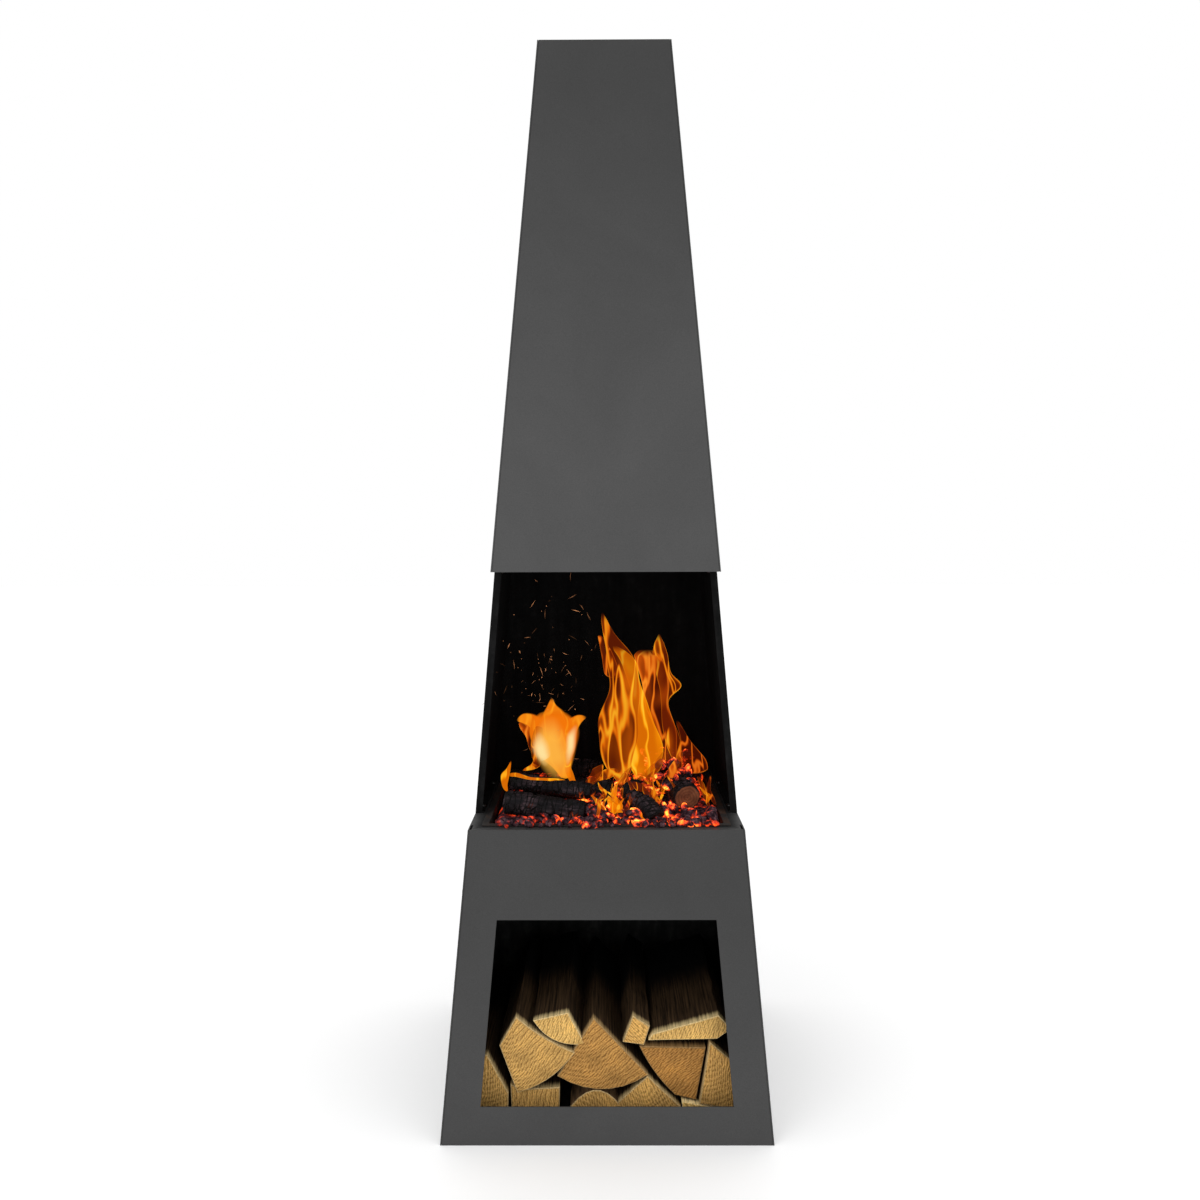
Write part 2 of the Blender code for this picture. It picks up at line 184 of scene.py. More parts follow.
def paint_material():
    """Matt dark grey heat-resistant paint, sprayed on sheet steel."""
    material, tree, shader = new_material("matt_heat_paint", roughness=0.62, specular=0.30)
    point = object_point(tree)
    inside, height = depth_inside(tree, point)
    # Slightly lighter towards the bottom of the hood, a little darker at the top of the base.
    hood_gradient = step_between(tree, height, HEIGHT, HOOD_BOTTOM, 0.0, 1.0)
    colour = blend_colour(tree, hood_gradient, grey(0.034), grey(0.056))
    base_gradient = step_between(tree, height, BASE_TOP, 0.0, 0.0, 1.0)
    base_colour = blend_colour(tree, base_gradient, grey(0.037), grey(0.046))
    on_hood = step_between(tree, height, BASE_TOP + 0.05, HOOD_BOTTOM - 0.05)
    colour = blend_colour(tree, on_hood, base_colour, colour)
    blotches = cloud(tree, point, 5.0, detail=5.0, roughness=0.6, distortion=0.6)
    colour = tinted(tree, colour, blotches, ((0.30, grey(0.88)), (0.52, grey(1.0)), (0.75, grey(1.13))))
    specks = cloud(tree, point, 620.0, detail=2.0)
    colour = tinted(tree, colour, specks, ((0.30, grey(0.90)), (0.70, grey(1.10))))
    # Soot on the flange round the hearth, from a finger's width inside its edge.
    at_hearth = step_between(tree, height, BASE_TOP - 0.0014, BASE_TOP - 0.0006)
    below_hood = step_between(tree, height, HOOD_BOTTOM, HOOD_BOTTOM - 0.02)
    ragged = calc(tree, "MULTIPLY_ADD", cloud(tree, point, 60.0), 0.006)
    ragged.node.inputs[2].default_value = -0.003
    soot = step_between(tree, calc(tree, "ADD", inside, ragged), 0.003, 0.017)
    soot = calc(tree, "MULTIPLY", soot, calc(tree, "MULTIPLY", at_hearth, below_hood))
    colour = blend_colour(tree, soot, colour, grey(0.008))
    wire(tree, colour, shader.inputs["Base Color"])
    rough = calc(tree, "MULTIPLY_ADD", blotches, 0.16)
    rough.node.inputs[2].default_value = 0.52
    rough = calc(tree, "ADD", rough, calc(tree, "MULTIPLY", soot, 0.35))
    wire(tree, rough, shader.inputs["Roughness"])
    grain = relief(tree, specks, 0.00012, 0.55)
    waves = cloud(tree, point, 9.0, detail=1.0)
    wire(tree, relief(tree, waves, 0.0012, 0.35, grain), shader.inputs["Normal"])
    return material


def soot_and_shade_material(name="soot", tone=0.008):
    """Dull black steel inside the stove: soot, plus painted shade that darkens the inside where little light
    falls.
    """
    material, tree, shader = new_material(name, roughness=1.0, specular=0.04)
    point = object_point(tree)
    flakes = cloud(tree, point, 45.0, detail=8.0, roughness=0.7)
    streaks = cloud(tree, stretched(tree, point, (60.0, 60.0, 5.0)), 1.0, detail=4.0)
    mix = calc(tree, "MULTIPLY", flakes, streaks)
    colour = ramp(tree, mix, ((0.12, grey(tone * 0.5)), (0.30, grey(tone)), (0.50, grey(tone * 2.1))))
    wire(tree, colour, shader.inputs["Base Color"])
    wire(tree, relief(tree, flakes, 0.0006, 0.6), shader.inputs["Normal"])
    return material


def scaled_steel_material():
    """Bare steel of the tray and grate: dark fire scale with rusty and ashy patches."""
    material, tree, shader = new_material("fire_scaled_steel", roughness=0.8, metallic=0.3,
                                          specular=0.3)
    point = object_point(tree)
    patches = cloud(tree, point, 28.0, detail=8.0, roughness=0.65, distortion=0.8)
    colour = ramp(tree, patches, (
        (0.30, (0.010, 0.009, 0.009, 1.0)),
        (0.48, (0.026, 0.022, 0.020, 1.0)),
        (0.58, (0.050, 0.024, 0.014, 1.0)),
        (0.70, (0.090, 0.083, 0.078, 1.0))))
    wire(tree, colour, shader.inputs["Base Color"])
    pits = cloud(tree, point, 350.0, detail=3.0)
    wire(tree, step_between(tree, patches, 0.3, 0.7, 0.7, 0.95), shader.inputs["Roughness"])
    wire(tree, relief(tree, calc(tree, "ADD", pits, patches), 0.0005, 0.7), shader.inputs["Normal"])
    return material


def zinc_material():
    """Black zinc on the bolts and nuts."""
    material, tree, shader = new_material("black_zinc", roughness=0.42, metallic=0.85)
    point = object_point(tree)
    wear = cloud(tree, point, 260.0, detail=4.0)
    colour = ramp(tree, wear, ((0.35, grey(0.035)), (0.60, grey(0.060)), (0.75, grey(0.12))))
    wire(tree, colour, shader.inputs["Base Color"])
    wire(tree, step_between(tree, wear, 0.3, 0.7, 0.32, 0.55), shader.inputs["Roughness"])
    wire(tree, relief(tree, wear, 0.0001, 0.4), shader.inputs["Normal"])
    return material


def is_inside(centre):
    """True for a face that lies deeper in the stove than its painted skin."""
    inside = half_width(centre.z) - max(abs(centre.x), abs(centre.y))
    return inside > PAINTED_SKIN


def dress_plain(node, material):
    node.data.materials.clear()
    node.data.materials.append(material)


def dress_panel(node, outer, inner, outer_rim=None):
    """Paint on the outside of a folded panel, and a darker material on its inside: soot with painted shade,
    or painted shade alone.
    """
    mesh = node.data
    mesh.materials.clear()
    mesh.materials.append(outer)
    mesh.materials.append(inner)
    for face in mesh.polygons:
        rim = outer_rim is not None and outer_rim(face.center, face.normal)
        face.material_index = 1 if is_inside(face.center) and not rim else 0


def dress_metal():
    """Give every piece of the stove its material."""
    paint = paint_material()
    # Soot with painted shade: the insides of the hood and fire chamber are painted near black.
    soot = soot_and_shade_material()
    # Painted shade: the inside of the log store and the other inner pieces, darker and duller than the
    # outside paint.
    shade = soot_and_shade_material("inside_painted_shade", 0.045)
    scale = scaled_steel_material()
    zinc = zinc_material()

    def hearth_flange(centre, normal):
        return normal.z > 0.7 and abs(centre.z - BASE_TOP) < 0.002

    for name, node in NODES.items():
        if "_bolt_" in name or "_nut_" in name:
            dress_plain(node, zinc)
        elif name in ("fire_tray", "fire_grate"):
            dress_plain(node, scale)
        elif name.startswith("base_"):
            dress_panel(node, paint, shade, hearth_flange)
        elif name.startswith("hood_") or name == "chamber_shell":
            dress_panel(node, paint, soot)
        else:
            dress_plain(node, shade)


# ---------------------------------------------------------------- shared mesh helpers
def link_mesh(name, bm, *materials):
    mesh = bpy.data.meshes.new(name)
    bm.to_mesh(mesh)
    bm.free()
    for material in materials:
        mesh.materials.append(material)
    piece = bpy.data.objects.new(name, mesh)
    bpy.context.scene.collection.objects.link(piece)
    return piece


def smooth(piece):
    for face in piece.data.polygons:
        face.use_smooth = True


def dressing(piece, body):
    """Show a piece that isn't part of the stove: it follows a body, and is never exported."""
    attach(piece, body)


# ---------------------------------------------------------------- firewood
# Split logs as (x, height) corners, seen from the front, with how far the side to the next
# corner bows out (the bark side of a split log).
LOG_FRONT = -0.188
LOG_LENGTH = 0.30
LOG_RINGS = 9
LOG_DRIFT = 0.0012         # how far a log's sides wander along its length
SAWN_EDGE = 0.0012         # the broken edge round a sawn end
LOGS = {
    "far_left_wedge": [(-0.165, 0.106, 0), (-0.190, 0.100, 0), (-0.192, 0.006, 0),
                       (-0.137, 0.006, 0), (-0.136, 0.052, 0)],
    "left_quarter": [(-0.124, 0.162, 0), (-0.147, 0.122, 0), (-0.123, 0.055, 0.009),
                     (-0.044, 0.112, -0.004)],
    "top_left_half": [(-0.101, 0.156, 0.013), (-0.030, 0.123, 0), (-0.053, 0.167, 0)],
    "middle_fan": [(-0.018, 0.159, 0), (-0.068, 0.077, 0.020), (0.057, 0.079, 0)],
    "small_block": [(0.036, 0.160, 0), (0.022, 0.123, 0), (0.051, 0.119, 0), (0.059, 0.145, 0)],
    "top_right_slab": [(0.057, 0.127, 0), (0.151, 0.129, 0), (0.164, 0.138, 0), (0.165, 0.149, 0),
                       (0.153, 0.162, 0), (0.133, 0.156, 0), (0.063, 0.136, 0)],
    "right_quarter": [(0.045, 0.116, 0.004), (0.094, 0.047, 0), (0.123, 0.040, 0), (0.136, 0.114, 0)],
    "far_right_wedge": [(0.141, 0.126, 0), (0.137, 0.100, 0), (0.127, 0.039, 0),
                        (0.175, 0.032, 0), (0.170, 0.101, 0)],
    "low_left_block": [(-0.133, 0.064, 0), (-0.131, 0.006, 0), (-0.066, 0.006, 0),
                       (-0.065, 0.059, 0), (-0.120, 0.056, 0)],
    "low_middle_half": [(-0.051, 0.006, 0), (0.022, 0.006, 0), (0.021, 0.032, 0.024),
                        (-0.050, 0.034, 0)],
    "low_fan": [(0.056, 0.076, 0), (0.014, 0.038, 0), (0.016, 0.006, 0), (0.106, 0.006, 0),
                (0.102, 0.032, 0)],
    "low_sliver": [(0.103, 0.041, 0), (0.107, 0.006, 0), (0.178, 0.006, 0), (0.172, 0.028, 0)],
}

# How pale each log is, from 0 (old and brown) to 1 (fresh)
LOG_TONES = {
    "far_left_wedge": 0.55, "left_quarter": 0.52, "top_left_half": 0.74, "middle_fan": 0.26,
    "small_block": 0.52, "top_right_slab": 0.74, "right_quarter": 0.16, "far_right_wedge": 0.44,
    "low_left_block": 0.50, "low_middle_half": 0.50, "low_fan": 0.50, "low_sliver": 1.0,
}


def bowed(corners, steps=7):
    """The outline through the corners, with a round side where a corner says so."""
    points = []
    for (x, z, bow), (next_x, next_z, _) in zip(corners, corners[1:] + corners[:1]):
        start, end = Vector((x, z)), Vector((next_x, next_z))
        points.append((start, bow > 0))
        if not bow:
            continue
        away = Vector((next_z - z, x - next_x)).normalized()
        for step in range(1, steps):
            part = step / steps
            points.append((start.lerp(end, part) + away * bow * 4 * part * (1 - part), bow > 0))
    return points


def end_grain_material():
    """Sawn ends: growth rings, rough saw marks and torn fibres; each log has its own tone."""
    material, tree, shader = new_material("sawn_end_grain", roughness=0.85, specular=0.15)
    point = object_point(tree)
    wobble = put(tree, "ShaderNodeTexNoise", Vector=point, Scale=22.0, Detail=3.0)
    warped = blend_colour(tree, 0.020, point, wobble.outputs["Color"])
    rings = put(tree, "ShaderNodeTexWave", {"wave_type": "RINGS", "rings_direction": "Y"},
                Vector=warped, Scale=48.0, Distortion=2.0, Detail=3.0).outputs["Fac"]
    saw = put(tree, "ShaderNodeTexWave", {"wave_type": "BANDS", "bands_direction": "X"},
              Vector=warped, Scale=95.0, Distortion=3.5, Detail=4.0).outputs["Fac"]
    fibres = cloud(tree, stretched(tree, point, (700.0, 300.0, 330.0)), 1.0, detail=4.0, roughness=0.7)
    patches = cloud(tree, point, 30.0, detail=5.0, roughness=0.6)
    tone = put(tree, "ShaderNodeAttribute", {"attribute_name": "tone"}).outputs["Fac"]
    colour = blend_colour(tree, tone, (0.36, 0.150, 0.032, 1.0), (0.80, 0.520, 0.170, 1.0))
    colour = tinted(tree, colour, patches, (
        (0.30, grey(0.68)), (0.52, grey(1.0)), (0.72, (1.30, 1.28, 1.16, 1.0))))
    marks = calc(tree, "ADD", calc(tree, "MULTIPLY", rings, 0.40), calc(tree, "MULTIPLY", saw, 0.60))
    colour = tinted(tree, colour, marks, (
        (0.10, (0.60, 0.56, 0.48, 1.0)), (0.50, grey(1.0)), (0.92, grey(1.18))))
    colour = tinted(tree, colour, fibres, (
        (0.34, (0.42, 0.36, 0.28, 1.0)), (0.47, grey(0.96)), (0.68, grey(1.32))))
    wire(tree, colour, shader.inputs["Base Color"])
    wire(tree, relief(tree, calc(tree, "ADD", marks, fibres), 0.0010, 0.9), shader.inputs["Normal"])
    return material


def split_side_material():
    """Split faces along the grain, dusty, with painted shade: dark brown just behind the sawn end, near
    black further into the store.
    """
    material, tree, shader = new_material("split_side_grain", roughness=0.9, specular=0.1)
    point = object_point(tree)
    fibres = cloud(tree, stretched(tree, point, (420.0, 9.0, 420.0)), 1.0, detail=5.0)
    tone = put(tree, "ShaderNodeAttribute", {"attribute_name": "tone"}).outputs["Fac"]
    colour = blend_colour(tree, tone, (0.24, 0.115, 0.034, 1.0), (0.92, 0.72, 0.36, 1.0))
    colour = tinted(tree, colour, fibres, ((0.32, grey(0.55)), (0.50, grey(1.0)), (0.70, grey(1.25))))
    depth = put(tree, "ShaderNodeSeparateXYZ", Vector=point).outputs[1]
    ragged = calc(tree, "ADD", depth, step_between(tree, fibres, 0.3, 0.7, 0.002, -0.002))
    # Painted shade: the sides turn dark brown a little way behind the sawn end and near black further back,
    # where the store is unlit.
    painted_shade_brown = ramp(tree, fibres, ((0.35, (0.014, 0.008, 0.004, 1.0)), (0.65, (0.080, 0.046, 0.022, 1.0))))
    colour = blend_colour(tree, step_between(tree, ragged, 0.004, 0.019), colour, painted_shade_brown)
    colour = blend_colour(tree, step_between(tree, depth, 0.10, 0.19), colour, grey(0.002))
    wire(tree, colour, shader.inputs["Base Color"])
    wire(tree, relief(tree, fibres, 0.0015, 0.8), shader.inputs["Normal"])
    return material


def bark_material():
    """The round outside of a log: brown ridges along the grain."""
    material, tree, shader = new_material("bark", roughness=0.95, specular=0.1)
    point = object_point(tree)
    ridges = cloud(tree, stretched(tree, point, (120.0, 22.0, 120.0)), 1.0, detail=6.0)
    colour = ramp(tree, ridges, (
        (0.32, (0.030, 0.017, 0.009, 1.0)), (0.55, (0.13, 0.075, 0.036, 1.0)),
        (0.75, (0.30, 0.20, 0.11, 1.0))))
    wire(tree, colour, shader.inputs["Base Color"])
    wire(tree, relief(tree, ridges, 0.003, 0.9), shader.inputs["Normal"])
    return material


def make_log(name, corners, chooser, materials):
    """One split log, lying front to back, with rough sides and a sawn end."""
    turn = chooser.uniform(-0.9, 0.9)
    outline = bowed(corners)
    pith = outline[0][0]
    unturn = Matrix.Rotation(-turn, 2)
    flat = [unturn @ (spot - pith) for spot, _ in outline]
    front = LOG_FRONT + chooser.uniform(-0.004, 0.006)
    bm = bmesh.new()
    loops = []
    for ring in range(LOG_RINGS):
        depth = LOG_LENGTH * ring / (LOG_RINGS - 1)
        drift = Vector((chooser.uniform(-1, 1), chooser.uniform(-1, 1))) * LOG_DRIFT * (ring > 0)
        loops.append([bm.verts.new((spot.x + drift.x, depth, spot.y + drift.y)) for spot in flat])
    count = len(flat)
    for first, second in zip(loops, loops[1:]):
        for index in range(count):
            after = (index + 1) % count
            face = bm.faces.new((first[index], second[index], second[after], first[after]))
            face.material_index = 2 if outline[index][1] else 1
    bm.faces.new(loops[0])
    bm.faces.new(list(reversed(loops[-1])))
    bmesh.ops.recalc_face_normals(bm, faces=bm.faces)
    rim = [edge for edge in bm.edges if all(vert in loops[0] for vert in edge.verts)]
    bmesh.ops.bevel(bm, geom=rim, offset=SAWN_EDGE, segments=2, affect="EDGES", material=1)
    shade = bm.verts.layers.float.new("tone")
    for vert in bm.verts:
        vert[shade] = LOG_TONES[name]
    log = link_mesh(f"log_{name}", bm, *materials)
    log.matrix_world = (Matrix.Translation((pith.x, front, pith.y))
                        @ Matrix.Rotation(-turn, 4, "Y"))
    dressing(log, "stove")


def stack_firewood():
    """The stack in the log store, with a tone for each log."""
    chooser = random.Random(11)
    materials = (end_grain_material(), split_side_material(), bark_material())
    for name, corners in LOGS.items():
        make_log(name, corners, chooser, materials)


# ---------------------------------------------------------------- fire
# Sheets of flame: depth, material, then (height over the grate, left edge, right edge) downwards.
SHEETS = {
    "main_left": (-0.045, "orange", [
        (0.290, -0.008, -0.003), (0.260, -0.004, 0.012), (0.220, 0.001, 0.042), (0.180, 0.005, 0.050),
        (0.120, -0.012, 0.048), (0.070, -0.004, 0.040), (0.030, 0.018, 0.025)]),
    "main_right": (-0.035, "yellow", [
        (0.240, 0.006, 0.018), (0.215, 0.022, 0.045), (0.180, 0.034, 0.052), (0.130, 0.044, 0.070),
        (0.075, 0.036, 0.085), (0.035, 0.040, 0.055)]),
    "left_wisp": (-0.030, "red", [
        (0.255, -0.012, -0.007), (0.230, -0.008, 0.008), (0.190, 0.000, 0.026)]),
    "veil": (0.000, "red", [
        (0.230, 0.040, 0.078), (0.195, 0.050, 0.094), (0.145, 0.060, 0.096), (0.095, 0.076, 0.108),
        (0.040, 0.085, 0.106)]),
    "second": (-0.010, "orange", [
        (0.255, 0.078, 0.082), (0.225, 0.070, 0.092), (0.195, 0.076, 0.099), (0.175, 0.080, 0.114),
        (0.150, 0.083, 0.094), (0.100, 0.087, 0.110), (0.050, 0.102, 0.120)]),
    "right_low": (-0.020, "red", [
        (0.125, 0.104, 0.108), (0.095, 0.112, 0.126), (0.065, 0.112, 0.150), (0.045, 0.116, 0.152)]),
    "left_body": (-0.038, "soft", [
        (0.145, -0.092, -0.062), (0.125, -0.112, -0.042), (0.085, -0.108, -0.042),
        (0.055, -0.080, -0.052), (0.035, -0.062, -0.050)]),
}
# Small tongues: depth, material, then (x, height over the grate, half the width) from tip to root.
LICKS = {
    "leaf": (-0.060, "orange", [(-0.004, 0.068, 0.001), (-0.012, 0.056, 0.007), (-0.018, 0.048, 0.007),
                                (-0.031, 0.040, 0.001)]),
    "leaf_root": (-0.060, "orange", [(0.018, 0.060, 0.001), (0.006, 0.053, 0.007), (-0.014, 0.045, 0.006),
                                     (-0.030, 0.039, 0.001)]),
    "left_tall": (-0.040, "soft", [(-0.080, 0.162, 0.001), (-0.081, 0.150, 0.007), (-0.078, 0.136, 0.019),
                                   (-0.076, 0.112, 0.024), (-0.074, 0.090, 0.014)]),
    "left_lobe": (-0.042, "soft", [(-0.132, 0.130, 0.001), (-0.122, 0.132, 0.008), (-0.108, 0.125, 0.013),
                                   (-0.098, 0.106, 0.016), (-0.094, 0.082, 0.010)]),
    "left_lobe_edge": (-0.046, "red", [(-0.128, 0.128, 0.001), (-0.121, 0.119, 0.006),
                                       (-0.113, 0.104, 0.006), (-0.108, 0.084, 0.004)]),
    "left_right_tip": (-0.042, "soft", [(-0.029, 0.134, 0.001), (-0.040, 0.130, 0.007),
                                        (-0.052, 0.118, 0.012), (-0.056, 0.096, 0.012),
                                        (-0.056, 0.070, 0.006)]),
    "left_core": (-0.068, "pale", [(-0.082, 0.142, 0.010), (-0.082, 0.120, 0.024), (-0.079, 0.096, 0.032),
                                   (-0.072, 0.070, 0.026), (-0.064, 0.042, 0.012)]),
    "left_streak": (-0.084, "white", [(-0.042, 0.132, 0.003), (-0.050, 0.114, 0.008),
                                      (-0.052, 0.094, 0.008), (-0.056, 0.070, 0.003)]),
    "left_glow": (-0.084, "white", [(-0.098, 0.120, 0.004), (-0.094, 0.102, 0.014),
                                    (-0.090, 0.084, 0.012), (-0.088, 0.066, 0.004)]),
    "left_fold": (-0.050, "orange", [(-0.082, 0.134, 0.003), (-0.094, 0.120, 0.009), (-0.103, 0.100, 0.007),
                                     (-0.106, 0.076, 0.004), (-0.104, 0.062, 0.001)]),
    "left_foot": (-0.060, "orange", [(-0.098, 0.082, 0.004), (-0.102, 0.069, 0.006), (-0.110, 0.061, 0.004),
                                     (-0.123, 0.058, 0.001)]),
    "far_left": (-0.095, "yellow", [(-0.136, 0.081, 0.0005), (-0.140, 0.068, 0.003), (-0.146, 0.056, 0.006),
                                    (-0.146, 0.044, 0.004), (-0.141, 0.035, 0.001)]),
    "log_band": (-0.095, "yellow", [(-0.142, 0.058, 0.002), (-0.128, 0.060, 0.003), (-0.108, 0.055, 0.002),
                                    (-0.085, 0.052, 0.002), (-0.062, 0.048, 0.003), (-0.040, 0.041, 0.001)]),
    "leg_curl": (-0.070, "yellow", [(-0.052, 0.078, 0.002), (-0.056, 0.064, 0.005), (-0.052, 0.050, 0.005),
                                    (-0.044, 0.038, 0.002)]),
    "centre_arc": (-0.080, "red", [(0.038, 0.068, 0.001), (0.028, 0.056, 0.005), (0.022, 0.040, 0.006),
                                   (0.012, 0.024, 0.003)]),
    "front_one": (-0.120, "orange", [(0.024, 0.046, 0.0005), (0.020, 0.032, 0.003), (0.012, 0.020, 0.005),
                                     (0.006, 0.008, 0.002)]),
    "front_two": (-0.125, "orange", [(-0.022, 0.036, 0.0005), (-0.012, 0.026, 0.003), (-0.006, 0.016, 0.004),
                                     (-0.010, 0.004, 0.001)]),
    "front_three": (-0.130, "red", [(0.036, 0.036, 0.0005), (0.030, 0.024, 0.003), (0.022, 0.012, 0.004),
                                    (0.018, 0.002, 0.001)]),
    "disc_left": (-0.115, "orange", [(0.078, 0.074, 0.001), (0.062, 0.060, 0.006), (0.060, 0.044, 0.009),
                                     (0.068, 0.028, 0.007), (0.078, 0.010, 0.002)]),
    "disc_left_two": (-0.110, "orange", [(0.036, 0.054, 0.001), (0.046, 0.046, 0.006), (0.060, 0.036, 0.007),
                                         (0.076, 0.018, 0.004), (0.079, 0.002, 0.001)]),
    "heap_one": (-0.085, "red", [(0.110, 0.092, 0.001), (0.104, 0.078, 0.006), (0.098, 0.064, 0.008),
                                 (0.092, 0.050, 0.004)]),
    "heap_two": (-0.080, "orange", [(0.084, 0.090, 0.001), (0.078, 0.078, 0.005), (0.070, 0.064, 0.007),
                                    (0.056, 0.050, 0.004)]),
    "disc_right": (-0.100, "orange", [(0.130, 0.060, 0.001), (0.138, 0.044, 0.003), (0.142, 0.028, 0.003),
                                      (0.148, 0.012, 0.001)]),
    "disc_right_two": (-0.100, "red", [(0.150, 0.058, 0.001), (0.146, 0.040, 0.003), (0.152, 0.026, 0.003),
                                       (0.158, 0.014, 0.001)]),
}
# Flame colours (dim inside, main colour, bright edge), then how solid the inside is, how much of
# the width fades at the edges, and how strong the bright ridges are.
FLAME_COLOURS = {
    "red": ((0.20, 0.015, 0.001), (0.62, 0.090, 0.003), (1.0, 0.30, 0.020), 0.30, 0.03, 0.60),
    "orange": ((0.24, 0.022, 0.001), (0.72, 0.130, 0.002), (1.0, 0.50, 0.020), 0.40, 0.03, 0.60),
    "yellow": ((0.90, 0.190, 0.001), (1.00, 0.330, 0.003), (1.0, 0.66, 0.040), 0.75, 0.05, 0.60),
    "soft": ((0.90, 0.180, 0.003), (1.00, 0.320, 0.010), (1.0, 0.50, 0.040), 0.90, 0.22, 0.30),
    "pale": ((1.00, 0.480, 0.060), (1.00, 0.350, 0.015), (1.0, 0.26, 0.008), 0.85, 0.80, 0.00),
    "white": ((1.00, 0.780, 0.350), (1.00, 0.600, 0.140), (1.0, 0.45, 0.040), 0.90, 0.90, 0.00),
}
SMALL_FLAMES = 22
FRONT_FLAMES = 16
SPARKS = 110
EMBERS = 420
EMBER_REACH = 0.152        # loose embers lie within this of the middle
SPILT_DEPTHS = (-0.180, -0.150)
BED_HALF = 0.158
BED_STEPS = 90
# Burning logs: start and end (height over the grate), radius, then the wood of the side and the ends.
BURNING_LOGS = {
    "left_back": ((-0.138, -0.078, 0.047), (-0.022, -0.092, 0.034), 0.012, "dull", "dull"),
    "left_front": ((-0.144, -0.112, 0.024), (-0.030, -0.128, 0.012), 0.017, "dull", "dull"),
    "left_lower": ((-0.120, -0.040, 0.024), (0.010, -0.060, 0.026), 0.018, "hot", "hot"),
    "right": ((0.116, -0.108, 0.028), (0.080, 0.060, 0.044), 0.020, "hot", "end_grain"),
    "middle": ((0.070, -0.140, 0.004), (0.034, -0.090, 0.040), 0.017, "dull", "dull"),
    "back": ((-0.060, 0.070, 0.026), (0.110, 0.045, 0.030), 0.020, "hot", "hot"),
}


def through(rows, part):
    """A smooth curve through rows of numbers, as part goes from 0 to 1."""
    place = part * (len(rows) - 1)
    index = min(int(place), len(rows) - 2)
    local = place - index
    before, first, second, after = (rows[max(0, min(len(rows) - 1, index + shift))]
                                    for shift in (-1, 0, 1, 2))
    return [0.5 * (2 * b + (c - a) * local + (2 * a - 5 * b + 4 * c - d) * local ** 2
                   + (3 * b - a - 3 * c + d) * local ** 3)
            for a, b, c, d in zip(before, first, second, after)]


def flame_material(name, dim, main, edge, body, haze, ridges):
    """Glowing gas: clear and dim in the middle, brighter along its edges and in soft ridges."""
    material = bpy.data.materials.new(name)
    material.use_nodes = True
    tree = material.node_tree
    tree.nodes.clear()
    point = object_point(tree)
    flow = cloud(tree, stretched(tree, point, (24.0, 24.0, 9.0)), 1.0, detail=1.0, distortion=0.35)
    folds = cloud(tree, stretched(tree, point, (52.0, 30.0, 10.0)), 1.0, detail=0.6, distortion=0.5)
    ridge = step_between(tree, calc(tree, "ABSOLUTE", calc(tree, "SUBTRACT", folds, 0.5)), 0.07, 0.0)
    facing = put(tree, "ShaderNodeLayerWeight", Blend=0.35).outputs["Facing"]
    rim = step_between(tree, facing, 0.25, 0.95)
    bright = calc(tree, "MAXIMUM", calc(tree, "MULTIPLY", rim, 0.9), calc(tree, "MULTIPLY", ridge, ridges))
    bright = calc(tree, "ADD", bright, step_between(tree, flow, 0.40, 0.78, 0.0, 0.42), clamp=True)
    colour = ramp(tree, bright, ((0.05, (*dim, 1.0)), (0.45, (*main, 1.0)), (0.95, (*edge, 1.0))))
    rise = put(tree, "ShaderNodeAttribute", {"attribute_name": "rise"}).outputs["Fac"]
    fade = 0.10 + haze * 0.35
    ends = calc(tree, "MULTIPLY", step_between(tree, rise, 1.0, 1.0 - fade),
                step_between(tree, rise, 0.0, fade))
    cover = step_between(tree, bright, 0.0, 0.55, body, 1.0)
    cover = calc(tree, "MULTIPLY", cover, ends)
    aside = put(tree, "ShaderNodeAttribute", {"attribute_name": "aside"}).outputs["Fac"]
    cover = calc(tree, "MULTIPLY", cover, step_between(tree, aside, 1.0, 1.0 - haze))
    seen = put(tree, "ShaderNodeLightPath").outputs["Is Camera Ray"]
    light = put(tree, "ShaderNodeEmission", Color=colour, Strength=step_between(
        tree, seen, 0.0, 1.0, 0.30, 1.0))
    clear = put(tree, "ShaderNodeBsdfTransparent")
    mixer = put(tree, "ShaderNodeMixShader", Fac=cover)
    tree.links.new(clear.outputs[0], mixer.inputs[1])
    tree.links.new(light.outputs[0], mixer.inputs[2])
    tree.links.new(mixer.outputs[0], put(tree, "ShaderNodeOutputMaterial").inputs["Surface"])
    return material


def make_flame(name, depth, edges, material, chooser, rings=60, sides=28):
    """A curved sheet of flame between pairs of edge points (x, z, x, z), bulging to the front."""
    bm = bmesh.new()
    rise = bm.verts.layers.float.new("rise")
    aside = bm.verts.layers.float.new("aside")
    phase = chooser.uniform(0, 6.28)
    loops = []
    for ring in range(rings + 1):
        part = ring / rings
        left_x, left_z, right_x, right_z = through(edges, part)
        ends = min(1.0, part * 12) * min(1.0, (1 - part) * 8)
        middle = Vector(((left_x + right_x) / 2, 0.0, (left_z + right_z) / 2))
        reach = Vector(((right_x - left_x) / 2, 0.0, (right_z - left_z) / 2)) * math.sqrt(ends)
        flutter = 0.05 * reach.length * math.sin(phase + middle.z * 95)
        thick = min(reach.length, 0.022) * 0.8
        sway = depth + 0.006 * math.sin(phase + part * 7)
        loop = []
        for side in range(sides + 1):
            angle = math.pi * (1 + side / sides)
            ruffle = 1 + 0.16 * math.sin(2 * angle + phase + part * 9)
            spot = middle + reach * math.cos(angle)
            spot.x += flutter
            spot.y = sway + thick * ruffle * math.sin(angle)
            spot.z += GRATE_TOP
            vert = bm.verts.new(spot)
            vert[rise] = 1 - part
            vert[aside] = abs(math.cos(angle))
            loop.append(vert)
        loops.append(loop)
    for first, second in zip(loops, loops[1:]):
        for side in range(sides):
            bm.faces.new((first[side], second[side], second[side + 1], first[side + 1]))
    flame = link_mesh(f"flame_{name}", bm, material)
    smooth(flame)
    dressing(flame, "grate")


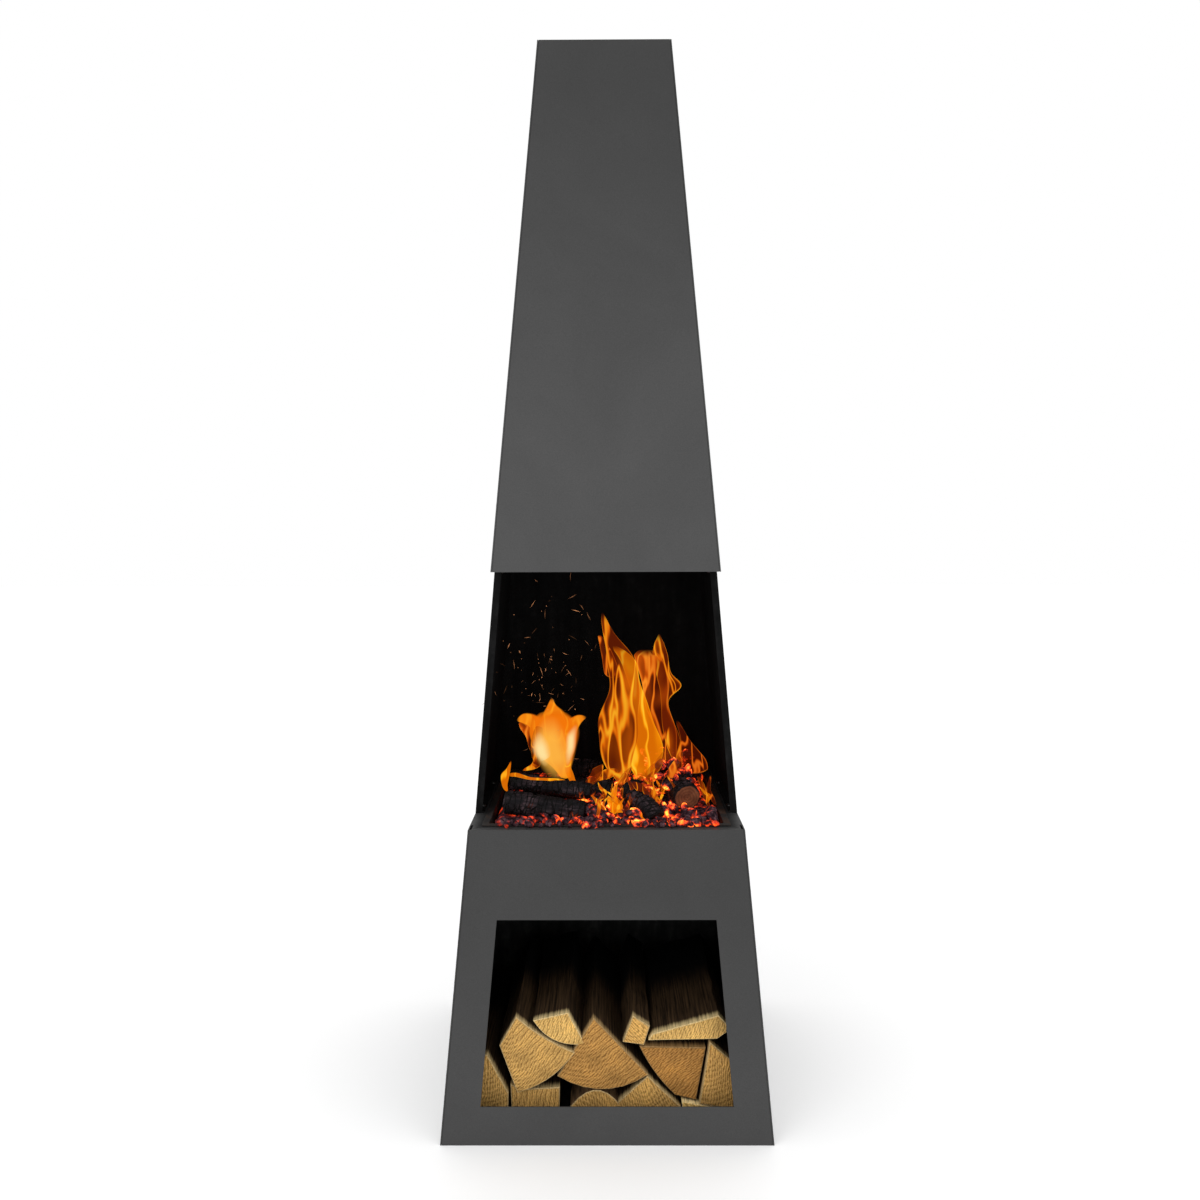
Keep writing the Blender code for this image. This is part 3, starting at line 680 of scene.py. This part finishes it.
def lick_edges(spine):
    """Edge points of a small tongue along a spine of (x, height, half width)."""
    edges = []
    for index, (x, height, half) in enumerate(spine):
        above = spine[max(0, index - 1)]
        below = spine[min(len(spine) - 1, index + 1)]
        along = Vector((below[0] - above[0], below[1] - above[1])).normalized()
        edges.append((x + along.y * half, height - along.x * half,
                      x - along.y * half, height + along.x * half))
    return edges


def light_fire(chooser):
    """The flames: large sheets, placed tongues, and small tongues scattered over the bed."""
    materials = {name: flame_material(f"flame_{name}", *colours)
                 for name, colours in FLAME_COLOURS.items()}
    for name, (depth, kind, rows) in SHEETS.items():
        edges = [(left, height, right, height) for height, left, right in rows]
        make_flame(name, depth, edges, materials[kind], chooser)
    for name, (depth, kind, spine) in LICKS.items():
        make_flame(name, depth, lick_edges(spine), materials[kind], chooser, rings=36, sides=18)
    for index in range(SMALL_FLAMES + FRONT_FLAMES):
        front = index >= SMALL_FLAMES
        x = chooser.gauss(0.006, 0.016) if front else max(-0.006, chooser.gauss(0.050, 0.050))
        base = chooser.uniform(-0.010, 0.014) if front else chooser.uniform(0.004, 0.030)
        tall = chooser.uniform(0.018, 0.042)
        wide = chooser.uniform(0.0015, 0.004) * (1.5 if front else 1.0)
        lean = chooser.uniform(-0.016, 0.012)
        spine = [(x + lean, base + tall, 0.0004), (x + lean * 0.3, base + tall * 0.7, wide * 0.6),
                 (x + wide, base + tall * 0.4, wide), (x, base, wide * 0.7)]
        kind = chooser.choice(("orange", "yellow") if front else ("red", "orange", "orange", "yellow"))
        depth = chooser.uniform(-0.145, -0.12) if front else chooser.uniform(-0.13, -0.04)
        make_flame(f"small_{index:02d}", depth, lick_edges(spine), materials[kind],
                   chooser, rings=20, sides=12)


def ember_material(name, glow_low, glow_high, strength):
    """Burning charcoal: black crust and grey ash over a red-hot inside, hottest in the middle."""
    material, tree, shader = new_material(name, roughness=0.95, specular=0.05)
    point = object_point(tree)
    crust = cloud(tree, point, 60.0, detail=5.0, roughness=0.6, distortion=0.4)
    ash = cloud(tree, point, 160.0, detail=3.0)
    colour = ramp(tree, ash, (
        (0.36, (0.008, 0.005, 0.007, 1.0)), (0.52, (0.040, 0.018, 0.024, 1.0)),
        (0.68, (0.130, 0.070, 0.080, 1.0))))
    wire(tree, colour, shader.inputs["Base Color"])
    across = put(tree, "ShaderNodeSeparateXYZ", Vector=point).outputs[0]
    middle = calc(tree, "ABSOLUTE", calc(tree, "SUBTRACT", across, 0.035))
    reach = step_between(tree, middle, 0.03, 0.16, 1.0, 0.45)
    heat = step_between(tree, crust, glow_low, glow_high)
    glow = calc(tree, "MULTIPLY", heat, reach)
    wire(tree, ramp(tree, glow, (
        (0.00, (0.30, 0.010, 0.004, 1.0)), (0.50, (0.95, 0.060, 0.006, 1.0)),
        (0.95, (1.0, 0.34, 0.040, 1.0)))), shader.inputs["Emission Color"])
    wire(tree, calc(tree, "MULTIPLY", glow, strength), shader.inputs["Emission Strength"])
    wire(tree, relief(tree, crust, 0.004, 0.9), shader.inputs["Normal"])
    return material


def char_material(name, crack_heat):
    """Charred wood: black blocks between cracks, some with a glow low down in the crack."""
    material, tree, shader = new_material(name, roughness=0.75, specular=0.18)
    point = object_point(tree)
    bent = put(tree, "ShaderNodeTexNoise", Vector=point, Scale=30.0, Detail=2.0).outputs["Color"]
    bent = blend_colour(tree, 0.010, point, bent)
    blocks = cells(tree, stretched(tree, bent, (34.0, 34.0, 125.0)), 1.0)
    crack = step_between(tree, blocks, 0.015, 0.09)
    fibres = cloud(tree, stretched(tree, point, (320.0, 320.0, 30.0)), 1.0, detail=4.0)
    patches = cloud(tree, point, 24.0, detail=3.0)
    colour = ramp(tree, fibres, (
        (0.35, (0.002, 0.001, 0.002, 1.0)), (0.58, (0.006, 0.004, 0.005, 1.0)),
        (0.78, (0.030, 0.019, 0.023, 1.0))))
    grey_ash = ramp(tree, fibres, ((0.40, (0.010, 0.006, 0.008, 1.0)), (0.70, (0.080, 0.049, 0.056, 1.0))))
    colour = blend_colour(tree, step_between(tree, patches, 0.42, 0.60), colour, grey_ash)
    wire(tree, blend_colour(tree, crack, (0.002, 0.001, 0.001, 1.0), colour), shader.inputs["Base Color"])
    hot = step_between(tree, cloud(tree, point, 22.0, detail=1.0), 0.56, 0.70)
    glow = calc(tree, "MULTIPLY", calc(tree, "SUBTRACT", 1.0, crack), hot)
    shader.inputs["Emission Color"].default_value = (1.0, 0.12, 0.01, 1.0)
    wire(tree, calc(tree, "MULTIPLY", glow, crack_heat), shader.inputs["Emission Strength"])
    height = calc(tree, "ADD", calc(tree, "MULTIPLY", crack, 1.2), calc(tree, "MULTIPLY", fibres, 0.3))
    wire(tree, relief(tree, height, 0.0035, 1.0), shader.inputs["Normal"])
    return material


def burnt_end_material():
    """The sawn end of a burning log: brown, stained rings."""
    material, tree, shader = new_material("burnt_end_grain", roughness=0.9, specular=0.05)
    point = object_point(tree)
    rings = put(tree, "ShaderNodeTexWave", {"wave_type": "RINGS", "rings_direction": "Z"},
                Vector=point, Scale=70.0, Distortion=4.0, Detail=3.0).outputs["Fac"]
    stains = cloud(tree, point, 70.0, detail=3.0)
    colour = ramp(tree, stains, ((0.30, (0.085, 0.026, 0.014, 1.0)), (0.70, (0.200, 0.070, 0.032, 1.0))))
    colour = tinted(tree, colour, rings, ((0.1, grey(0.8)), (0.9, grey(1.05))))
    wire(tree, colour, shader.inputs["Base Color"])
    wire(tree, relief(tree, rings, 0.0006, 0.5), shader.inputs["Normal"])
    return material


def make_charred_log(name, start, end, radius, materials, rings=60, sides=40):
    """A burning log between two points: knobbly round body with cracked sides."""
    length = (end - start).length
    bm = bmesh.new()
    loops = []
    for ring in range(rings + 1):
        along = length * ring / rings
        near_end = min(ring, rings - ring)
        loop = []
        for side in range(sides):
            angle = 2 * math.pi * side / sides
            spot = Vector((math.cos(angle), math.sin(angle), along * 9))
            bumps = noise.fractal(spot * 1.6 + start * 40, 0.8, 2.1, 4)
            cuts = abs(noise.noise(Vector((math.cos(angle) * 1.3, math.sin(angle) * 1.3, along * 75))))
            reach = radius * (1 + 0.10 * bumps - 0.14 * max(0.0, 0.20 - cuts) / 0.20)
            reach *= 0.90 + 0.10 * min(near_end, 2) / 2
            loop.append(bm.verts.new((reach * math.cos(angle), reach * math.sin(angle), along)))
        loops.append(loop)
    for first, second in zip(loops, loops[1:]):
        for side in range(sides):
            after = (side + 1) % sides
            bm.faces.new((first[side], first[after], second[after], second[side]))
    for loop in (loops[0], loops[-1]):
        cap = bm.faces.new(loop)
        cap.material_index = 1
    bmesh.ops.recalc_face_normals(bm, faces=bm.faces)
    log = link_mesh(f"burning_log_{name}", bm, *materials)
    for face in log.data.polygons:
        face.use_smooth = face.material_index == 0
    turn = (end - start).to_track_quat("Z", "Y").to_matrix().to_4x4()
    log.matrix_world = Matrix.Translation(start) @ turn
    dressing(log, "grate")


def bed_height(x, y):
    """The ember bed's surface: lumpy, and heaped towards the middle."""
    edge = min(1.0, (BED_HALF - max(abs(x), abs(y))) / 0.014)
    lumps = noise.fractal(Vector((x * 55, y * 55, 3.1)), 0.9, 2.0, 4)
    heap = 0.016 * math.exp(-((x - 0.05) / 0.09) ** 2 - ((y + 0.01) / 0.09) ** 2)
    return GRATE_TOP - 0.006 + max(0.0, edge) ** 0.5 * (0.012 + heap + 0.004 * lumps)


def make_ember_bed():
    """The glowing bed that fills the tray, as one lumpy sheet."""
    places = [BED_HALF * (2 * step / BED_STEPS - 1) for step in range(BED_STEPS + 1)]
    bm = bmesh.new()
    grid = [[bm.verts.new((x, y, bed_height(x, y))) for x in places] for y in places]
    for row in range(BED_STEPS):
        for column in range(BED_STEPS):
            bm.faces.new((grid[row][column], grid[row][column + 1],
                          grid[row + 1][column + 1], grid[row + 1][column]))
    bed = link_mesh("ember_bed", bm, ember_material("ember_bed", 0.50, 0.72, 2.6))
    smooth(bed)
    dressing(bed, "grate")


def scatter_embers(chooser):
    """Lumps of charcoal over the bed, heaped at the right, and some spilt on the tray's front rim."""
    heap, rim = bmesh.new(), bmesh.new()
    for index in range(EMBERS):
        spilt = index % 3 == 0
        x = chooser.uniform(-0.150, 0.150) if spilt else chooser.gauss(0.03, 0.075)
        y = chooser.uniform(*SPILT_DEPTHS) if spilt else chooser.uniform(-0.150, 0.10)
        if abs(x) > EMBER_REACH:
            continue
        size = chooser.uniform(0.003, 0.0065) if spilt else chooser.uniform(0.004, 0.011)
        ground = TRAY_TOP if spilt else bed_height(x, y)
        if not spilt and 0.06 < x < 0.14 and y > -0.09:
            ground += chooser.uniform(0.0, 0.040)
        lump = bmesh.ops.create_icosphere(rim if spilt else heap, subdivisions=2, radius=size)["verts"]
        squeeze = Vector(chooser.uniform(0.6, 1.25) for _ in range(3))
        spin = Matrix.Rotation(chooser.uniform(0, 6.28), 3, Vector((
            chooser.uniform(-1, 1), chooser.uniform(-1, 1), chooser.uniform(-1, 1))).normalized())
        shift = Vector((x, y, ground + size * chooser.uniform(0.3, 0.8)))
        seed = Vector((index * 3.7, index * 1.3, 0.0))
        for vert in lump:
            facet = noise.cell(vert.co / size * 1.1 + seed)
            rough = 1 + 0.22 * noise.noise(vert.co / size * 1.5 + seed) + 0.10 * facet
            vert.co = spin @ (vert.co * squeeze * rough) + shift
    material = ember_material("ember_chunks", 0.49, 0.68, 3.0)
    dressing(link_mesh("embers", heap, material), "grate")
    dressing(link_mesh("spilt_embers", rim, material), "tray")


def make_sparks(chooser):
    """Sparks: thin glowing streaks over the left of the fire."""
    material = bpy.data.materials.new("spark")
    material.use_nodes = True
    tree = material.node_tree
    tree.nodes.clear()
    glow = put(tree, "ShaderNodeAttribute", {"attribute_name": "glow"}).outputs["Fac"]
    light = put(tree, "ShaderNodeEmission", Color=(1.0, 0.42, 0.18, 1.0), Strength=glow)
    tree.links.new(light.outputs[0], put(tree, "ShaderNodeOutputMaterial").inputs["Surface"])
    bm = bmesh.new()
    layer = bm.verts.layers.float.new("glow")
    for _ in range(SPARKS):
        start = Vector((min(chooser.gauss(-0.088, 0.036), 0.015), chooser.uniform(-0.09, 0.03),
                        GRATE_TOP + chooser.gauss(0.195, 0.055)))
        along = Vector((chooser.gauss(0.1, 0.6), chooser.gauss(0, 0.2), chooser.gauss(0.0, 1.0)))
        along = along.normalized() * chooser.choice((0.0010, 0.0014, 0.006, 0.010, 0.015))
        side = along.cross(Vector((0, 1, 0))).normalized() * chooser.uniform(0.00018, 0.00034)
        if along.length < 0.002:
            side *= 2.2
        bow = side * chooser.uniform(-2.5, 2.5)
        lift = Vector((0.0, 0.0006, 0.0))
        middle = start + bow
        corners = [start - along / 2, middle + side + lift, start + along / 2, middle - side + lift,
                   middle - lift]
        verts = [bm.verts.new(corner) for corner in corners]
        strength = chooser.choice((0.10, 0.20, 0.35, 0.6, 0.9))
        for vert in verts:
            vert[layer] = strength
        front, back = verts[4], verts[:4]
        for index in range(4):
            bm.faces.new((back[index], back[(index + 1) % 4], front))
        bm.faces.new(list(reversed(back)))
    sparks = link_mesh("sparks", bm, material)
    dressing(sparks, "grate")


def build_fire():
    """Everything that burns, riding on the grate or lying on the tray."""
    chooser = random.Random(23)
    make_ember_bed()
    scatter_embers(chooser)
    woods = {"end_grain": burnt_end_material(), "dull": char_material("charred_wood", 1.2),
             "hot": char_material("burning_wood", 3.0)}
    lift = Vector((0.0, 0.0, GRATE_TOP))
    for name, (start, end, radius, side, ends) in BURNING_LOGS.items():
        make_charred_log(name, Vector(start) + lift, Vector(end) + lift, radius, (woods[side], woods[ends]))
    light_fire(chooser)
    make_sparks(chooser)


# ---------------------------------------------------------------- light, floor, camera
def make_room():
    """A white world and a pale floor."""
    scene = bpy.context.scene
    scene.view_settings.view_transform = "Standard"
    world = bpy.data.worlds.new("studio")
    scene.world = world
    world.use_nodes = True
    world.node_tree.nodes["Background"].inputs["Color"].default_value = grey(1.0)
    world.node_tree.nodes["Background"].inputs["Strength"].default_value = 1.0
    bm = bmesh.new()
    bmesh.ops.create_grid(bm, x_segments=2, y_segments=2, size=14.0)
    material, tree, shader = new_material("pale_floor", roughness=0.9, specular=0.1)
    shader.inputs["Base Color"].default_value = grey(0.92)
    shader.inputs["Emission Color"].default_value = grey(1.0)
    shader.inputs["Emission Strength"].default_value = 0.15
    floor = link_mesh("floor", bm, material)


def area_light(name, place, aim, size, power, colour=(1.0, 1.0, 1.0)):
    data = bpy.data.lights.new(name, "AREA")
    data.shape = "RECTANGLE"
    data.size, data.size_y = size
    data.energy = power
    data.color = colour
    light = bpy.data.objects.new(name, data)
    light.location = place
    light.rotation_euler = (Vector(aim) - Vector(place)).to_track_quat("-Z", "Y").to_euler()
    bpy.context.scene.collection.objects.link(light)


def make_lights():
    area_light("key", (-2.2, -3.0, 2.4), (0.0, 0.0, 0.7), (2.2, 2.2), 25.0)
    area_light("fill", (2.6, -2.6, 1.4), (0.0, 0.0, 0.6), (2.0, 2.4), 12.0)


def make_camera():
    """The photograph's view: close, from just above the fire chamber, looking slightly down."""
    data = bpy.data.cameras.new("camera")
    data.lens = 31.93
    data.sensor_width = 36.0
    camera = bpy.data.objects.new("camera", data)
    down, left, roll = (math.radians(angle) for angle in (3.757, 0.293, -0.165))
    camera.matrix_world = (Matrix.Translation((-0.0004, -1.605, 0.8259))
                           @ Matrix.Rotation(left, 4, "Z")
                           @ Matrix.Rotation(math.pi / 2 - down, 4, "X")
                           @ Matrix.Rotation(roll, 4, "Z"))
    bpy.context.scene.collection.objects.link(camera)
    bpy.context.scene.camera = camera


make_camera()
make_room()
make_lights()
dress_metal()
stack_firewood()
build_fire()
